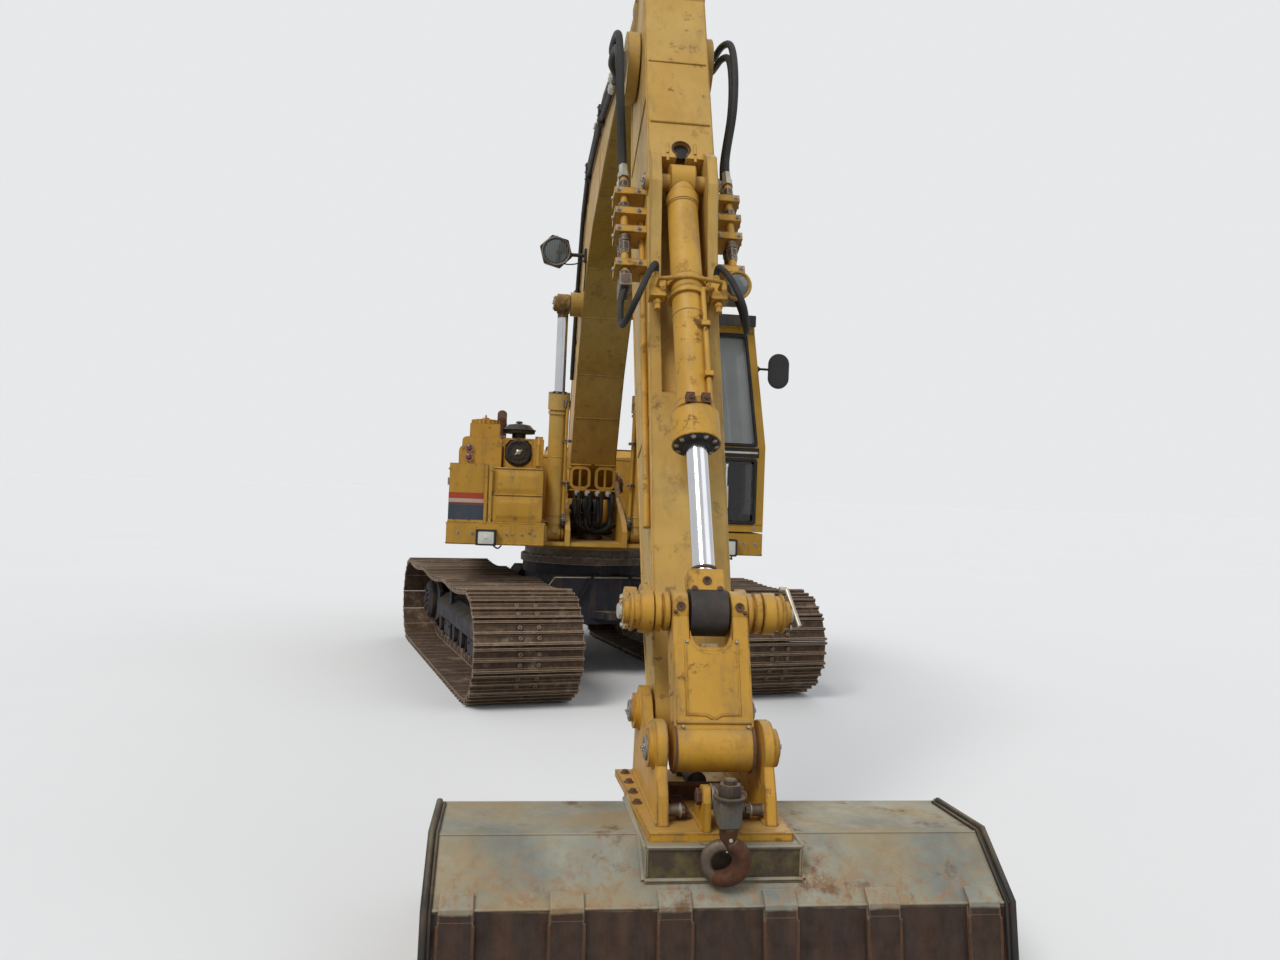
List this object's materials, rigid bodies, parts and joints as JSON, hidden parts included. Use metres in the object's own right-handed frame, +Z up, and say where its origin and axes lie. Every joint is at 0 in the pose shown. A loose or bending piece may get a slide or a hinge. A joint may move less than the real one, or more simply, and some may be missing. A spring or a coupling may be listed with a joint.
{
  "type": "crawler excavator",
  "caption": "Tracked hydraulic excavator with an angular gooseneck boom, a quick coupler with lifting hook and a wide ditching bucket, in worn yellow paint.",
  "frame": {"origin": "on the ground under the swing axis", "axes": "+X forward along the boom, +Y to the machine's left, where the cab is, +Z up"},
  "size_m": [8.696, 3.5554, 4.534],
  "materials": {
    "yellow_paint": "weathered yellow paint with rust and dirt",
    "under_paint": "dark blue-black paint under dirt",
    "black_paint": "worn black paint",
    "engine_paint": "oily grey paint",
    "track_steel": "rust with bright worn bars",
    "worn_steel": "rust",
    "exhaust_steel": "heat rust",
    "bucket_steel": "khaki paint worn to rust",
    "rod_chrome": "hard chrome",
    "cab_glass": "grey tint",
    "lamp": "housing with a pale lens",
    "black_plastic": "matte",
    "seat_cloth": "woven",
    "hose_rubber": "matte, dusty"
  },
  "bodies": {
    "undercarriage": {"car_body": "under_paint", "swing_bearing": "worn_steel", "track_frame_right": "under_paint", "track_frame_left": "under_paint", "track_right": "track_steel", "track_left": "track_steel", "idlers": "under_paint", "sprockets": "under_paint", "rollers": "under_paint"},
    "upper": {"main_frame": "yellow_paint", "counterweight": "yellow_paint", "engine_housing": "yellow_paint", "engine_block": "engine_paint", "radiator": "black_paint", "fuel_tank": "yellow_paint", "hydraulic_tank": "yellow_paint", "tool_box": "yellow_paint", "air_cleaner": "yellow_paint", "exhaust": "exhaust_steel", "cab_shell": "yellow_paint", "cab_windows": "cab_glass", "seat": "seat_cloth", "controls": "black_plastic", "side_mirror": "black_plastic", "work_lamps": "lamp", "handrails": "yellow_paint"},
    "cab_door_body": {"cab_door": "yellow_paint", "cab_door_glass": "cab_glass"},
    "hood_body": {"engine_hood": "yellow_paint"},
    "pump_door_body": {"pump_door": "yellow_paint"},
    "radiator_door_body": {"radiator_door": "yellow_paint"},
    "boom_body": {"boom": "yellow_paint", "boom_pipes": "black_paint", "boom_lamp": "lamp", "hose_guards": "yellow_paint", "jumper_hoses": "hose_rubber"},
    "boom_barrel_body": {"boom_barrels": "yellow_paint"},
    "boom_rod_body": {"boom_rods": "rod_chrome"},
    "stick_barrel_body": {"stick_barrel": "yellow_paint"},
    "stick_rod_body": {"stick_rod": "rod_chrome"},
    "stick_body": {"stick": "yellow_paint", "stick_pipes": "yellow_paint", "stick_lamp": "lamp"},
    "bucket_barrel_body": {"bucket_barrel": "yellow_paint"},
    "bucket_rod_body": {"bucket_rod": "rod_chrome"},
    "rocker_body": {"rockers": "yellow_paint"},
    "power_link_body": {"power_link": "yellow_paint"},
    "bucket_body": {"quick_coupler": "yellow_paint", "lifting_hook": "worn_steel", "bucket": "bucket_steel"}
  },
  "joints": [
    {"name": "swing", "type": "hinge", "parent": "undercarriage", "child": "upper", "pos_m": [0, 0, 0.93], "axis": [0, 0, 1], "continuous": true},
    {"name": "boom_lift", "type": "hinge", "parent": "upper", "child": "boom_body", "pos_m": [0, 0, 1.62], "axis": [0, -1, 0], "range_deg": [-32, 25]},
    {"name": "boom_barrel_turn", "type": "hinge", "parent": "upper", "child": "boom_barrel_body", "pos_m": [0.86, 0, 1.22], "axis": [0, -1, 0], "range_deg": [-28.02, 21.93]},
    {"name": "boom_rod_slide", "type": "slide", "parent": "boom_barrel_body", "child": "boom_rod_body", "axis": [0.13, 0, 0.9915], "range_m": [-0.5107, 0.4001]},
    {"name": "stick_turn", "type": "hinge", "parent": "boom_body", "child": "stick_body", "pos_m": [4.14844, 0, 3.68335], "axis": [0, 1, 0], "range_deg": [-50, 45]},
    {"name": "stick_barrel_turn", "type": "hinge", "parent": "boom_body", "child": "stick_barrel_body", "pos_m": [1.45, 0, 4.35], "axis": [0, 1, 0], "range_deg": [-2.33, 2.12]},
    {"name": "stick_rod_slide", "type": "slide", "parent": "stick_barrel_body", "child": "stick_rod_body", "axis": [0.9997, 0, 0.0243], "range_m": [-0.5954, 0.5364]},
    {"name": "bucket_turn", "type": "hinge", "parent": "stick_body", "child": "bucket_body", "pos_m": [5.45, 0, 0.76], "axis": [0, 1, 0], "range_deg": [-80, 60]},
    {"name": "rocker_turn", "type": "hinge", "parent": "stick_body", "child": "rocker_body", "pos_m": [5.22843, 0, 1.11015], "axis": [0, 1, 0], "range_deg": [-53.84, 40.43]},
    {"name": "power_link_turn", "type": "hinge", "parent": "rocker_body", "child": "power_link_body", "pos_m": [5.67028, 0, 1.15034], "axis": [0, 1, 0], "range_deg": [-37.2, 49.53]},
    {"name": "bucket_barrel_turn", "type": "hinge", "parent": "stick_body", "child": "bucket_barrel_body", "pos_m": [4.75215, 0, 2.92974], "axis": [0, 1, 0], "range_deg": [-3.26, 2.5]},
    {"name": "bucket_rod_slide", "type": "slide", "parent": "bucket_barrel_body", "child": "bucket_rod_body", "axis": [0.4585, 0, -0.8887], "range_m": [-0.3733, 0.2813]},
    {"name": "cab_door_swing", "type": "hinge", "parent": "upper", "child": "cab_door_body", "pos_m": [0.693, 1.25, 1.6], "axis": [0, 0, 1], "range_deg": [0, 90]},
    {"name": "engine_hood_lift", "type": "hinge", "parent": "upper", "child": "hood_body", "pos_m": [-1.743, 0.2, 1.918], "axis": [0, -1, 0], "range_deg": [0, 55]},
    {"name": "pump_door_swing", "type": "hinge", "parent": "upper", "child": "pump_door_body", "pos_m": [-1.679, -1.193, 1.6], "axis": [0, 0, -1], "range_deg": [0, 100]},
    {"name": "radiator_door_swing", "type": "hinge", "parent": "upper", "child": "radiator_door_body", "pos_m": [-1.679, 1.193, 1.6], "axis": [0, 0, 1], "range_deg": [0, 100]}
  ],
  "couplings": [
    {"joint": "boom_barrel_turn", "follows": "boom_lift", "ratio": 0.8694},
    {"joint": "boom_rod_slide", "follows": "boom_lift", "m_per_rad": 0.9054},
    {"joint": "stick_barrel_turn", "follows": "stick_turn", "ratio": 0.0426},
    {"joint": "stick_rod_slide", "follows": "stick_turn", "m_per_rad": 0.6766},
    {"joint": "rocker_turn", "follows": "bucket_turn", "ratio": 0.6705},
    {"joint": "power_link_turn", "follows": "bucket_turn", "ratio": -0.6166},
    {"joint": "bucket_barrel_turn", "follows": "bucket_turn", "ratio": 0.0383},
    {"joint": "bucket_rod_slide", "follows": "bucket_turn", "m_per_rad": 0.2638}
  ]
}
